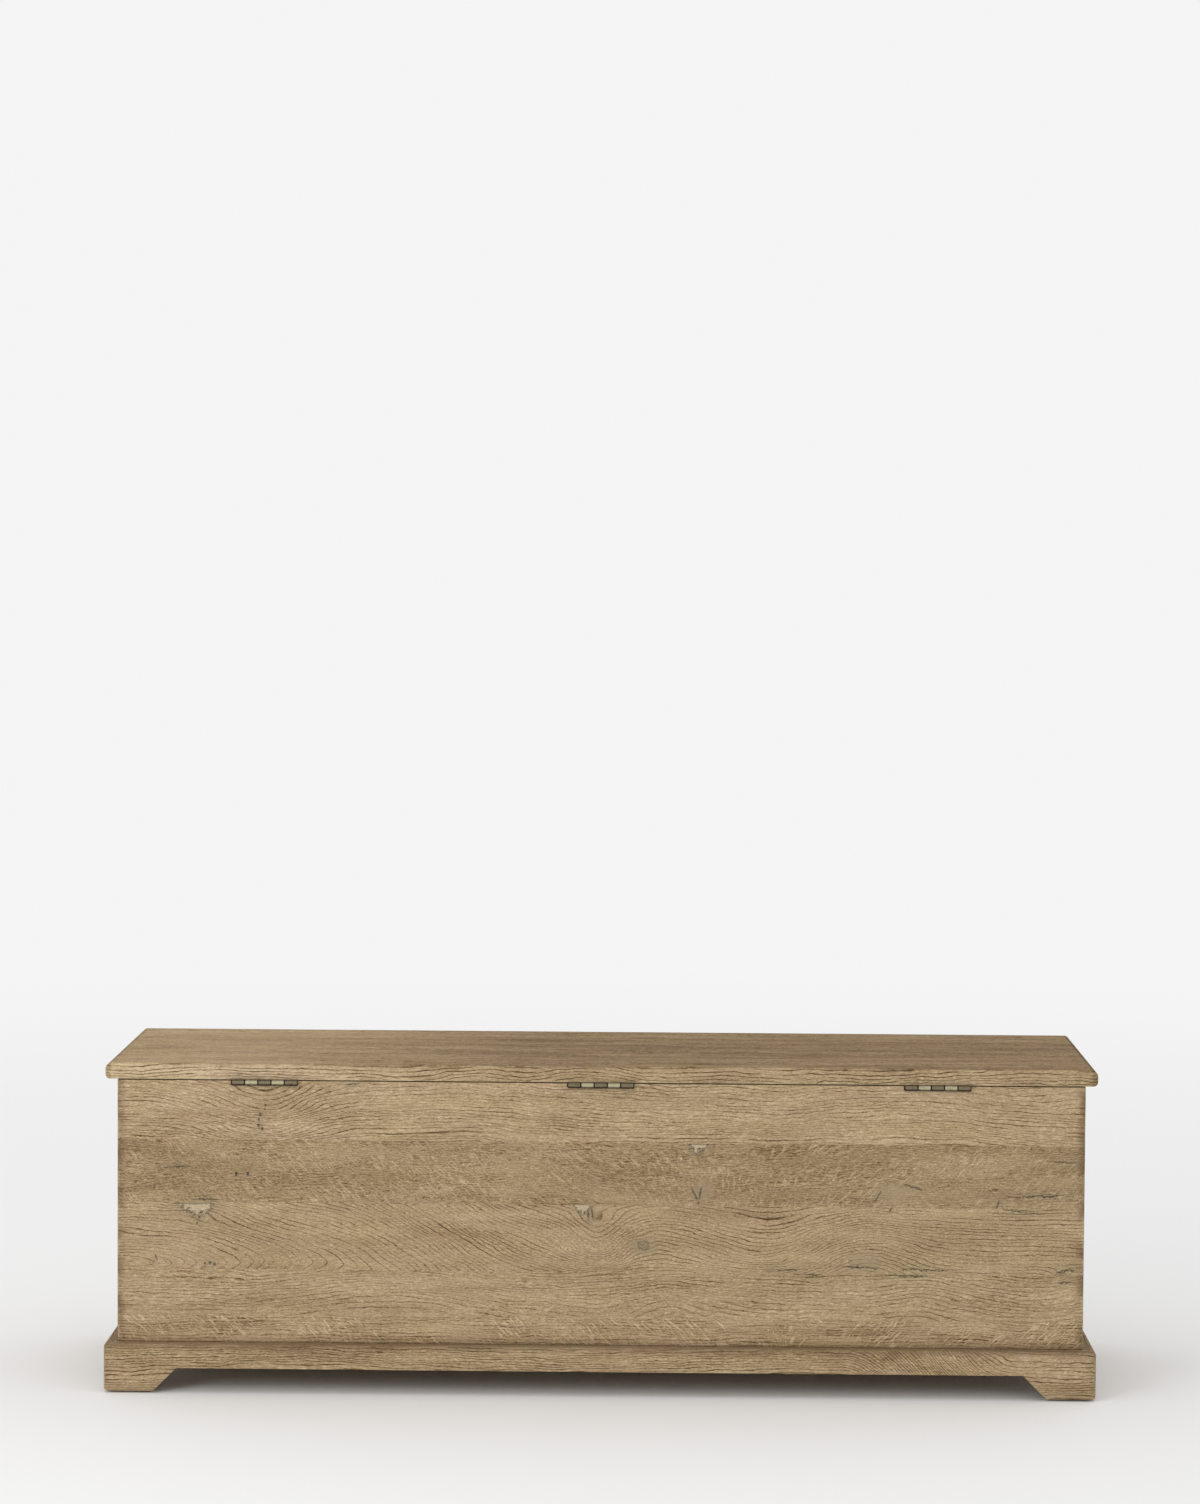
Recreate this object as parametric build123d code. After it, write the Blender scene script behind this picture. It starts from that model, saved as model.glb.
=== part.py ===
from build123d import *

import os
from math import asin, cos, hypot, radians, sin

# Oak blanket chest on a bracket-foot plinth, with a plank lid on three butt hinges and two slotted lid stays.
# Millimetres. +Z is up, the front faces -Y, and the origin is on the floor under the middle of the plinth.

# ---- driving dimensions ----
LENGTH = 1524.0  # lid and plinth
HEIGHT = 508.0
LID_DEPTH = 457.0
LID_THICK = 25.0
PROUD = 19.0  # how far the lid and the plinth stand out from the carcass
BOARD = 19.0  # thickness of the carcass and plinth boards
SEAM = 1.5  # gap between the carcass and the closed lid
GLIDE = 2.0  # height of the floor glides under the feet
LID_OPENS = 95.0  # degrees

# ---- carcass ----
BODY_LENGTH = LENGTH - 2 * PROUD
BODY_DEPTH = LID_DEPTH - PROUD
BODY_TOP = HEIGHT - LID_THICK - SEAM
BODY_BOTTOM = 41.0
BODY_CORNER = 3.0
HALF_X = BODY_LENGTH / 2
HALF_Y = BODY_DEPTH / 2
INNER_X = HALF_X - BOARD
INNER_Y = HALF_Y - BOARD
LID_UNDER = BODY_TOP + SEAM

# Widths of the glued boards from the top down; the lowest board takes what is left.
PANEL_WIDTHS = {
    "back": (91.0, 97.0, 103.0, 72.0),
    "front": (112.0, 104.0, 118.0),
    "left_side": (130.0, 98.0, 116.0),
    "right_side": (130.0, 109.0, 94.0),
}
LID_WIDTHS = (118.0, 107.0, 124.0, 108.0)  # boards from the front; together LID_DEPTH

# A loose spline runs across each mitred corner.
SPLINE_THICK = 4.0
SPLINE_WIDTH = 12.0
SPLINE_STOP = 12.0  # how far it stops short of the boards' ends
SPLINE_GAP = 0.1

# ---- plinth ----
PLINTH_LENGTH = LENGTH
PLINTH_DEPTH = BODY_DEPTH + 2 * PROUD
PLINTH_HEIGHT = 74.0
PLINTH_CORNER = 6.0
PLINTH_EASE = 5.5  # rounding of the outer edges, top and bottom
ARCH_RISE = 37.0  # height of the cut-out between the bracket feet
FOOT = 75.0  # length of a foot on the floor; its inner end rises at 45 degrees
FOOT_TOE = 5.0  # rounding where the slope meets the floor
BLOCK = 45.0  # square glue block in each corner of the plinth
GLIDE_RADIUS = 11.0
GLIDE_NAIL = 1.2
GLIDE_NAIL_DEPTH = 14.0

# ---- floor ----
FLOOR_THICK = 12.0
FLOOR_GAP = 0.5
LEDGER = 18.0
FLOOR_UNDER = 60.0

# ---- lid ----
LID_FRONT = -HALF_Y - PROUD
LID_CORNER = 5.0
LID_ROUND_TOP = 11.0
LID_ROUND_UNDER = 8.0
LID_REAR_TOP = 5.0
LID_REAR_UNDER = 1.5
BATTEN_WIDTH = 60.0
BATTEN_THICK = 18.0
BATTEN_INSET = 10.0  # clearance to the front and back boards
BATTEN_CHAMFER = 5.0
BATTEN_SCREW_INSET = 30.0
BATTEN_X = {"left": -600.0, "centre": 0.0, "right": 600.0}
BUMPER_RADIUS = 5.0
BUMPER_THICK = SEAM - 0.1
BUMPER_INSET = 60.0

# ---- butt hinges ----
HINGE_X = {"left": -516.0, "centre": 0.0, "right": 516.0}
HINGE_LENGTH = 101.6
KNUCKLES = 5
KNUCKLE_RADIUS = 4.6
KNUCKLE_GAP = 0.3  # between the barrel and the back
KNUCKLE_SPACE = 0.7  # between two knuckles
KNUCKLE_EASE = 0.5  # chamfer of a knuckle's ends
LEAF_THICK = 2.5
LEAF_GAP = 2.4  # between the closed leaves
LEAF_REACH = 17.0  # how far a leaf lies over the board's edge
PIN_RADIUS = 2.0
PIN_CLEARANCE = 0.05
PIN_HEAD_RADIUS = 3.3
PIN_HEAD_THICK = 1.5
PIN_HEAD_ROUND = 1.2
WEB_LAP = 1.0  # how far the web behind a knuckle runs into its leaf
AXIS_Y = HALF_Y + KNUCKLE_RADIUS + KNUCKLE_GAP
AXIS_Z = LID_UNDER - LEAF_THICK - LEAF_GAP / 2
LEAF_SCREWS = (-39.0, -13.0, 13.0, 39.0)
LEAF_STAGGER = 2.0
MORTISE_GAP = 0.1

# ---- screws ----
SCREW_HEAD = 3.6
SCREW_SHANK = 1.75
SCREW_CONE = 1.9
SCREW_LENGTH = 16.0
BATTEN_SCREW_LENGTH = 34.0
SCREW_SLOT = 0.9
HOLE_GAP = 0.05

# ---- slotted lid stays ----
# The lid pivot and the stud are equally far from the hinge axis, so an arm turns half as fast as the lid.
STAY_REACH = 180.0  # hinge axis to the lid pivot, along the lid
STAY_DROP = 12.0  # lid pivot below the lid's underside
STUD_ANGLE = 35.0  # direction of the stud below the horizontal, seen from the hinge axis
STUD_RADIUS = 3.0
STUD_HEAD = 6.0
STUD_HEAD_THICK = 2.5
STUD_GAP = 0.2  # between the stud's head and the arm
RIVET_HEAD = 5.0
RIVET_HEAD_THICK = 1.4
RIVET_GAP = 0.1
ARM_WIDTH = 14.0
ARM_THICK = 2.5
SLOT_GAP = 0.1
PLATE_THICK = 2.0
PLATE_SIZE = (30.0, 44.0)
PLATE_SCREW_INSET = 7.0
ARM_CLEAR = 0.3
BRACKET_THICK = 2.5
BRACKET_FLANGE = 24.0
BRACKET_LENGTH = 44.0
BRACKET_SCREW_INSET = 9.0

FAR = 2 * LENGTH  # longer than anything in the model
parts = {}


def block(x0, x1, y0, y1, z0, z1):
    """A box between two corners."""
    centre = Pos((x0 + x1) / 2, (y0 + y1) / 2, (z0 + z1) / 2)
    return centre * Box(x1 - x0, y1 - y0, z1 - z0)


def prism(outline, base, height):
    """A flat outline in plan, raised from z = base."""
    return Pos(0, 0, base) * extrude(outline, height)


def quarter(side, half_x, half_y):
    """Plan region of one side of a mitred frame; its slanted ends are the mitre lines."""
    reach = min(half_x, half_y) / 2
    along, across = (half_x, half_y) if side in ("front", "back") else (half_y, half_x)
    points = [
        (-along, -across), (along, -across),
        (along - reach, reach - across), (reach - along, reach - across),
    ]
    turn = {"front": 0, "right": 90, "back": 180, "left": 270}[side]
    return Rot(0, 0, turn) * Polygon(*points, align=None)


def mitred(frame, side, half_x, half_y):
    """The piece of a frame that belongs to one side, cut at the mitres."""
    return frame & prism(quarter(side, half_x, half_y), -1, HEIGHT + 2)


def frame_ring(length, depth, corner):
    """Plan outline of a frame of boards with rounded outer corners."""
    return RectangleRounded(length, depth, corner) - Rectangle(length - 2 * BOARD, depth - 2 * BOARD)


def screw(length=SCREW_LENGTH, grow=0.0):
    """A countersunk slotted screw, head at z = 0, point at -length. Its hole is grow larger and unslotted."""
    head, shank = SCREW_HEAD + grow, SCREW_SHANK + grow
    tip = length + grow
    outline = Polygon(
        (0, 0), (head, 0), (shank, -SCREW_CONE), (shank, 3 * shank - tip), (0, -tip), align=None
    )
    solid = revolve(Plane.XZ * outline, Axis.Z)
    if grow:
        return solid
    return solid - block(-FAR, FAR, -SCREW_SLOT / 2, SCREW_SLOT / 2, -SCREW_SLOT, 1)


def placed_screws(places, length=SCREW_LENGTH):
    """Screws and their holes at (position, direction the head faces)."""
    frames = [Plane(origin=at, z_dir=facing) for at, facing in places]
    screws = [frame * screw(length) for frame in frames]
    holes = [frame * screw(length, HOLE_GAP) for frame in frames]
    return screws, holes


def drill(name, holes):
    """Cuts the holes that reach a part out of it."""
    box = parts[name].bounding_box()
    for hole in holes:
        other = hole.bounding_box()
        apart = any(
            low > high
            for low, high in (
                (box.min.X, other.max.X), (other.min.X, box.max.X),
                (box.min.Y, other.max.Y), (other.min.Y, box.max.Y),
                (box.min.Z, other.max.Z), (other.min.Z, box.max.Z),
            )
        )
        if not apart:
            parts[name] = parts[name] - hole


def make_splines():
    """Four loose splines, and the grooves that they sit in."""
    splines, grooves = [], []
    for sign_x in (-1, 1):
        for sign_y in (-1, 1):
            x = sign_x * (HALF_X - BOARD / 2)
            y = sign_y * (HALF_Y - BOARD / 2)
            turn = 45 if sign_x * sign_y < 0 else -45
            base = BODY_BOTTOM + SPLINE_STOP
            height = BODY_TOP - SPLINE_STOP - base
            seat = Pos(x, y, base + height / 2) * Rot(0, 0, turn)
            splines.append(seat * Box(SPLINE_WIDTH, SPLINE_THICK, height))
            gap = 2 * SPLINE_GAP
            grooves.append(seat * Box(SPLINE_WIDTH + gap, SPLINE_THICK + gap, height + gap))
    return splines, grooves


def make_carcass():
    """Four panels of edge-glued boards, mitred at the corners and tied by splines."""
    frame = prism(frame_ring(BODY_LENGTH, BODY_DEPTH, BODY_CORNER), BODY_BOTTOM, BODY_TOP - BODY_BOTTOM)
    splines, grooves = make_splines()
    parts["corner_splines"] = splines
    for panel, widths in PANEL_WIDTHS.items():
        side = panel.removesuffix("_side")
        whole = mitred(frame, side, HALF_X, HALF_Y)
        for groove in grooves:
            whole = whole - groove
        top = BODY_TOP
        for number, width in enumerate((*widths, BODY_TOP - BODY_BOTTOM - sum(widths)), 1):
            slab = block(-FAR, FAR, -FAR, FAR, top - width, top)
            parts[f"{panel}_board_{number}"] = whole & slab
            top -= width


def make_floor():
    """A plywood floor on four ledgers glued inside the carcass."""
    gap = FLOOR_GAP
    parts["floor_panel"] = block(
        gap - INNER_X, INNER_X - gap, gap - INNER_Y, INNER_Y - gap, FLOOR_UNDER, FLOOR_UNDER + FLOOR_THICK
    )
    low = FLOOR_UNDER - LEDGER
    for name, sign in (("front", -1), ("back", 1)):
        near, far = sorted((sign * INNER_Y, sign * (INNER_Y - LEDGER)))
        parts[f"floor_ledger_{name}"] = block(-INNER_X, INNER_X, near, far, low, FLOOR_UNDER)
    for name, sign in (("left", -1), ("right", 1)):
        near, far = sorted((sign * INNER_X, sign * (INNER_X - LEDGER)))
        end = INNER_Y - LEDGER
        parts[f"floor_ledger_{name}"] = block(near, far, -end, end, low, FLOOR_UNDER)


def arch(length):
    """Elevation outline of the cut-out between two feet, on a side of the given length; y is the height."""
    half_floor = length / 2 - FOOT
    half_top = half_floor - ARCH_RISE
    return Polygon(
        (-half_floor, 0), (-half_top, ARCH_RISE), (half_top, ARCH_RISE), (half_floor, 0), align=None
    )


def toe_rounding(length):
    """Rounds the corner where each foot's slope meets the floor."""
    toes = []
    for sign in (-1, 1):
        x = sign * (length / 2 - FOOT)
        corner = Polygon((x, 0), (x - sign * FOOT_TOE, 0), (x - sign * FOOT_TOE, FOOT_TOE), align=None)
        set_back = FOOT_TOE * (2**0.5 - 1)
        keep = Pos(x + sign * set_back, FOOT_TOE) * Circle(FOOT_TOE)
        strip = Polygon(
            (x, 0), (x + sign * set_back, 0),
            (x + sign * set_back, FOOT_TOE), (x - sign * FOOT_TOE, FOOT_TOE),
            align=None,
        )
        toes.append(strip - keep - corner)
    return toes


def make_plinth():
    """Four mitred plinth boards with bracket feet, glue blocks in the corners and floor glides."""
    frame = prism(RectangleRounded(PLINTH_LENGTH, PLINTH_DEPTH, PLINTH_CORNER), GLIDE, PLINTH_HEIGHT)
    rims = frame.faces().sort_by(Axis.Z)
    frame = fillet(rims[0].edges() + rims[-1].edges(), PLINTH_EASE)
    frame = frame - block(-HALF_X, HALF_X, -HALF_Y, HALF_Y, -1, HEIGHT)
    lift = Pos(0, 0, GLIDE)
    for length, plane in ((PLINTH_LENGTH, Plane.XZ), (PLINTH_DEPTH, Plane.YZ)):
        for outline in (arch(length), *toe_rounding(length)):
            frame = frame - lift * extrude(plane * outline, FAR, both=True)
    for side in ("front", "right", "back", "left"):
        parts[f"plinth_{side}"] = mitred(frame, side, PLINTH_LENGTH / 2, PLINTH_DEPTH / 2)

    nail = GLIDE + GLIDE_NAIL_DEPTH
    pad = Pos(0, 0, GLIDE / 2) * Cylinder(GLIDE_RADIUS, GLIDE)
    pad = fillet(pad.edges().sort_by(Axis.Z)[0], GLIDE / 2)
    glide = pad + Pos(0, 0, nail / 2) * Cylinder(GLIDE_NAIL, nail)
    hole = Pos(0, 0, nail / 2) * Cylinder(GLIDE_NAIL + HOLE_GAP, nail + HOLE_GAP)
    glides = []
    for front_back, sign_y in (("front", -1), ("back", 1)):
        for left_right, sign_x in (("left", -1), ("right", 1)):
            x0, x1 = sorted((sign_x * HALF_X, sign_x * (HALF_X - BLOCK)))
            y0, y1 = sorted((sign_y * HALF_Y, sign_y * (HALF_Y - BLOCK)))
            seat = Pos((x0 + x1) / 2, (y0 + y1) / 2, 0)
            cube = block(x0, x1, y0, y1, GLIDE, BODY_BOTTOM)
            parts[f"foot_block_{front_back}_{left_right}"] = cube - seat * hole
            glides.append(seat * glide)
    parts["foot_glides"] = glides


def rounded_section(width, height, radii):
    """A rectangle from (0, 0) with a radius for each corner: at the origin, then anticlockwise."""
    outline = Pos(width / 2, height / 2) * Rectangle(width, height)
    corners = {(0, 0): radii[0], (width, 0): radii[1], (width, height): radii[2], (0, height): radii[3]}
    for (x, y), radius in corners.items():
        vertex = outline.vertices().sort_by_distance((x, y, 0))[0]
        outline = fillet(vertex, radius)
    return outline


def make_lid():
    """Four edge-glued lid boards with rounded edges, and three battens screwed across them."""
    across = rounded_section(
        LID_DEPTH, LID_THICK, (LID_ROUND_UNDER, LID_REAR_UNDER, LID_REAR_TOP, LID_ROUND_TOP)
    )
    along = rounded_section(
        LENGTH, LID_THICK, (LID_ROUND_UNDER, LID_ROUND_UNDER, LID_ROUND_TOP, LID_ROUND_TOP)
    )
    plan = Pos(0, LID_FRONT + LID_DEPTH / 2) * RectangleRounded(LENGTH, LID_DEPTH, LID_CORNER)
    slab = Pos(0, LID_FRONT, LID_UNDER) * extrude(Plane.YZ * across, FAR, both=True)
    slab = slab & Pos(-LENGTH / 2, 0, LID_UNDER) * extrude(Plane.XZ * along, FAR, both=True)
    slab = slab & prism(plan, 0, HEIGHT + 1)
    front = LID_FRONT
    for number, width in enumerate(LID_WIDTHS, 1):
        parts[f"lid_board_{number}"] = slab & block(-FAR, FAR, front, front + width, 0, FAR)
        front += width

    length = 2 * (INNER_Y - BATTEN_INSET)
    furthest = length / 2 - BATTEN_SCREW_INSET
    places = []
    for name, x in BATTEN_X.items():
        batten = Pos(x, 0, LID_UNDER - BATTEN_THICK / 2) * Box(BATTEN_WIDTH, length, BATTEN_THICK)
        low = batten.faces().sort_by(Axis.Z)[0]
        parts[f"lid_batten_{name}"] = chamfer(low.edges(), BATTEN_CHAMFER)
        front = LID_FRONT
        for width in LID_WIDTHS:
            y = min(max(front + width / 2, -furthest), furthest)
            places.append(((x, y, LID_UNDER - BATTEN_THICK), (0, 0, -1)))
            front += width
    screws, holes = placed_screws(places, BATTEN_SCREW_LENGTH)
    parts["batten_screws"] = screws
    for name in [n for n in parts if n.startswith(("lid_board", "lid_batten"))]:
        drill(name, holes)

    y = BUMPER_INSET - HALF_Y
    pad = Cylinder(BUMPER_RADIUS, BUMPER_THICK)
    level = BODY_TOP + BUMPER_THICK / 2
    spots = [(sign * (HALF_X - BUMPER_INSET), BOARD / 2 - HALF_Y) for sign in (-1, 1)]
    spots += [(sign * (HALF_X - BOARD / 2), y) for sign in (-1, 1)]
    parts["lid_bumpers"] = [Pos(x, y, level) * pad for x, y in spots]


def barrel(x, length, radius):
    """A cylinder about the hinge axis."""
    return Pos(x, AXIS_Y, AXIS_Z) * Rot(0, 90, 0) * Cylinder(radius, length)


def knuckle(x, length):
    """A length of a hinge's barrel with eased ends."""
    body = barrel(x, length, KNUCKLE_RADIUS)
    return chamfer(body.edges().filter_by(GeomType.CIRCLE), KNUCKLE_EASE)


def hinge_pin(x):
    """A pin with a domed head at each end."""
    pin = barrel(x, HINGE_LENGTH - KNUCKLE_SPACE, PIN_RADIUS)
    for end in (-1, 1):
        seat = (HINGE_LENGTH - KNUCKLE_SPACE) / 2
        head = barrel(x + end * (seat + PIN_HEAD_THICK / 2), PIN_HEAD_THICK, PIN_HEAD_RADIUS)
        outer = -1 if end > 0 else 0
        rim = head.edges().filter_by(GeomType.CIRCLE).sort_by(Axis.X)[outer]
        pin = pin + fillet(rim, PIN_HEAD_ROUND)
    return pin


def hinge_leaf(x, on_lid):
    """One leaf of a butt hinge; the carcass leaf has the end knuckles and the middle one."""
    pitch = HINGE_LENGTH / KNUCKLES
    side = 1 if on_lid else -1
    low, high = sorted((AXIS_Z + side * LEAF_GAP / 2, AXIS_Z + side * (LEAF_GAP / 2 + LEAF_THICK)))
    half = HINGE_LENGTH / 2
    leaf = block(x - half, x + half, HALF_Y - LEAF_REACH, HALF_Y, low, high)
    for number in range(1 if on_lid else 0, KNUCKLES, 2):
        centre = x - half + (number + 0.5) * pitch
        wide = pitch - KNUCKLE_SPACE
        web = block(centre - wide / 2, centre + wide / 2, HALF_Y - WEB_LAP, AXIS_Y, low, high)
        leaf = leaf + web + knuckle(centre, wide)
    return leaf - barrel(x, HINGE_LENGTH + 1, PIN_RADIUS + PIN_CLEARANCE)


def make_hinges():
    """Three butt hinges, let into the top edge of the back, with their pins. Returns the screws' places."""
    carcass_places, lid_places = [], []
    half = HINGE_LENGTH / 2
    for name, x in HINGE_X.items():
        parts[f"hinge_{name}_body_leaf"] = hinge_leaf(x, on_lid=False)
        parts[f"hinge_{name}_lid_leaf"] = hinge_leaf(x, on_lid=True)
        parts[f"hinge_{name}_pin"] = hinge_pin(x)
        gap = MORTISE_GAP
        floor = AXIS_Z - LEAF_GAP / 2 - LEAF_THICK
        mortise = block(x - half - gap, x + half + gap, HALF_Y - LEAF_REACH - gap, FAR, floor, FAR)
        parts["back_board_1"] = parts["back_board_1"] - mortise
        for number, along in enumerate(LEAF_SCREWS):
            y = HALF_Y - LEAF_REACH / 2 + LEAF_STAGGER * (-1) ** number
            carcass_places.append(((x + along, y, AXIS_Z - LEAF_GAP / 2), (0, 0, 1)))
            lid_places.append(((x + along, y, AXIS_Z + LEAF_GAP / 2), (0, 0, -1)))
    return carcass_places, lid_places


def stay_points():
    """The lid pivot and the stud of a stay, as (y, z)."""
    drop = AXIS_Z - (LID_UNDER - STAY_DROP)
    radius = hypot(STAY_REACH, drop)
    angle = radians(STUD_ANGLE)
    pivot = (AXIS_Y - STAY_REACH, AXIS_Z - drop)
    stud = (AXIS_Y - radius * cos(angle), AXIS_Z - radius * sin(angle))
    return pivot, stud, radius


def stay_spans():
    """Distance from the lid pivot to the stud with the lid closed and with it open."""
    pivot, stud, radius = stay_points()
    closed = hypot(pivot[0] - stud[0], pivot[1] - stud[1])
    apex = 2 * asin(closed / 2 / radius)
    return closed, 2 * radius * sin((apex + radians(LID_OPENS)) / 2)


def arm_outline(closed, opened):
    """Elevation of a stay's arm: a bar from the rivet hole at the origin along X, slotted for the stud."""
    tail = opened + STUD_RADIUS + ARM_WIDTH / 2
    slot_from, slot_to = closed - SLOT_GAP, opened + SLOT_GAP
    bar = Pos(tail / 2, 0) * SlotCenterToCenter(tail, ARM_WIDTH)
    slot = SlotCenterToCenter(slot_to - slot_from, 2 * (STUD_RADIUS + SLOT_GAP))
    return bar - Pos((slot_from + slot_to) / 2, 0) * slot - Circle(STUD_RADIUS + PIN_CLEARANCE)


def lid_bracket(ear_outer, sign, y, z):
    """An angle under the lid, whose ear hangs down beside the arm to the rivet at y, z."""
    ear_inner = ear_outer - sign * BRACKET_THICK
    half = BRACKET_LENGTH / 2
    ear = block(*sorted((ear_outer, ear_inner)), y - half, y + half, LID_UNDER - STAY_DROP, LID_UNDER)
    round_end = Pos((ear_outer + ear_inner) / 2, y, z) * Rot(0, 90, 0)
    ear = ear + round_end * Cylinder(ARM_WIDTH / 2, BRACKET_THICK)
    reach = sorted((ear_outer, ear_outer - sign * BRACKET_FLANGE))
    flange = block(*reach, y - half, y + half, LID_UNDER - BRACKET_THICK, LID_UNDER)
    rivet_hole = round_end * Cylinder(STUD_RADIUS + PIN_CLEARANCE, 4 * BRACKET_THICK)
    return ear + flange - rivet_hole


def guide_plate(wall, sign, y, z):
    """A plate on the side of the carcass that carries the stud."""
    wide, tall = PLATE_SIZE
    reach = sorted((wall, wall - sign * PLATE_THICK))
    plate = block(*reach, y - wide / 2, y + wide / 2, z - tall / 2, z + tall / 2)
    return plate - Pos(wall, y, z) * Rot(0, 90, 0) * Cylinder(STUD_RADIUS + HOLE_GAP, 4 * PLATE_THICK)


def rivet(x_outer, x_inner, y, z):
    """A rivet through the arm and the bracket's ear, with a low head on each side."""
    sign = 1 if x_outer > x_inner else -1
    turned = Rot(0, 90, 0)
    length = abs(x_outer - x_inner) + 2 * RIVET_GAP
    head = turned * Cylinder(RIVET_HEAD, RIVET_HEAD_THICK)
    offset = sign * (RIVET_GAP + RIVET_HEAD_THICK / 2)
    shank = Pos((x_outer + x_inner) / 2, y, z) * turned * Cylinder(STUD_RADIUS, length)
    return shank + Pos(x_outer + offset, y, z) * head + Pos(x_inner - offset, y, z) * head


def stud(wall, sign, arm_inner, y, z):
    """The stud on the guide plate that the arm's slot slides over; its round head keeps the arm on."""
    turned = Rot(0, 90, 0)
    end = arm_inner - sign * STUD_GAP
    shank = Pos((wall + end) / 2, y, z) * turned * Cylinder(STUD_RADIUS, abs(wall - end))
    head = turned * Cylinder(STUD_HEAD, STUD_HEAD_THICK)
    return shank + Pos(end - sign * STUD_HEAD_THICK / 2, y, z) * head


def make_stays():
    """A slotted arm, lid bracket, rivet, guide plate and stud on each side. Returns the screws' places."""
    (pivot_y, pivot_z), (stud_y, stud_z), _ = stay_points()
    closed, opened = stay_spans()
    down = ((stud_y - pivot_y) / closed, (stud_z - pivot_z) / closed)
    carcass_places, lid_places = [], []
    parts["stay_rivets"] = []
    parts["stay_studs"] = []
    for name, sign in (("left", -1), ("right", 1)):
        wall = sign * INNER_X
        arm_outer = wall - sign * (PLATE_THICK + ARM_CLEAR)
        arm_inner = arm_outer - sign * ARM_THICK
        ear_outer = arm_inner - sign * ARM_CLEAR
        ear_inner = ear_outer - sign * BRACKET_THICK
        frame = Plane(origin=(arm_inner, pivot_y, pivot_z), x_dir=(0, *down), z_dir=(sign, 0, 0))
        parts[f"stay_{name}_arm"] = frame * extrude(arm_outline(closed, opened), ARM_THICK)
        parts[f"stay_{name}_lid_bracket"] = lid_bracket(ear_outer, sign, pivot_y, pivot_z)
        parts[f"stay_{name}_guide_plate"] = guide_plate(wall, sign, stud_y, stud_z)
        parts["stay_rivets"].append(rivet(arm_outer, ear_inner, pivot_y, pivot_z))
        parts["stay_studs"].append(stud(wall, sign, arm_inner, stud_y, stud_z))

        plate_face = wall - sign * PLATE_THICK
        middle = ear_outer - sign * (BRACKET_FLANGE + BRACKET_THICK) / 2
        for step in (-1, 1):
            high = stud_z + step * (PLATE_SIZE[1] / 2 - PLATE_SCREW_INSET)
            along = pivot_y + step * (BRACKET_LENGTH / 2 - BRACKET_SCREW_INSET)
            carcass_places.append(((plate_face, stud_y, high), (-sign, 0, 0)))
            lid_places.append(((middle, along, LID_UNDER - BRACKET_THICK), (0, 0, -1)))
    return carcass_places, lid_places


def make_screws(carcass_places, lid_places):
    """The screws of the hinges and stays, and their holes in metal and wood."""
    for group, places in (("carcass_screws", carcass_places), ("lid_screws", lid_places)):
        screws, holes = placed_screws(places)
        parts[group] = screws
        if group == "carcass_screws":
            wanted = ("back_board_1", "left_side_board_1", "right_side_board_1")
            metal = ("_body_leaf", "_guide_plate")
        else:
            wanted = ("lid_board_",)
            metal = ("_lid_leaf", "_lid_bracket")
        for name in list(parts):
            if name.startswith(wanted) or name.endswith(metal):
                drill(name, holes)


make_carcass()
make_floor()
make_plinth()
make_lid()
hinge_carcass, hinge_lid = make_hinges()
stay_carcass, stay_lid = make_stays()
make_screws(hinge_carcass + stay_carcass, hinge_lid + stay_lid)

os.makedirs("parts", exist_ok=True)
for name, shape in parts.items():
    export_step(Compound(children=shape) if isinstance(shape, list) else shape, f"parts/{name}.step")
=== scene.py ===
"""An oak blanket chest seen from behind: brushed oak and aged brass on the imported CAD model."""

import math
import random
from dataclasses import dataclass

import bpy
from mathutils import Matrix, Vector


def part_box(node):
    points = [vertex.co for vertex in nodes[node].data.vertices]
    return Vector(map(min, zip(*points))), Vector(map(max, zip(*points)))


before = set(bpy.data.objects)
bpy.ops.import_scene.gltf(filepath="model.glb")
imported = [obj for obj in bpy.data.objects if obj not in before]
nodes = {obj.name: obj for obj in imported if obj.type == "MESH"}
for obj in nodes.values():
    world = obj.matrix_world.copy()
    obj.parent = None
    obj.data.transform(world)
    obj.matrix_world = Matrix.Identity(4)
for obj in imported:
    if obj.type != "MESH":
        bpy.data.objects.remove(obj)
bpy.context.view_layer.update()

MM = 1000.0  # patterns are written in millimetres, the scene is in metres
X, Y, Z = range(3)
LOW, HIGH = range(2)  # the two corners of a box


# ---- node graphs written as arithmetic ----


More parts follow.
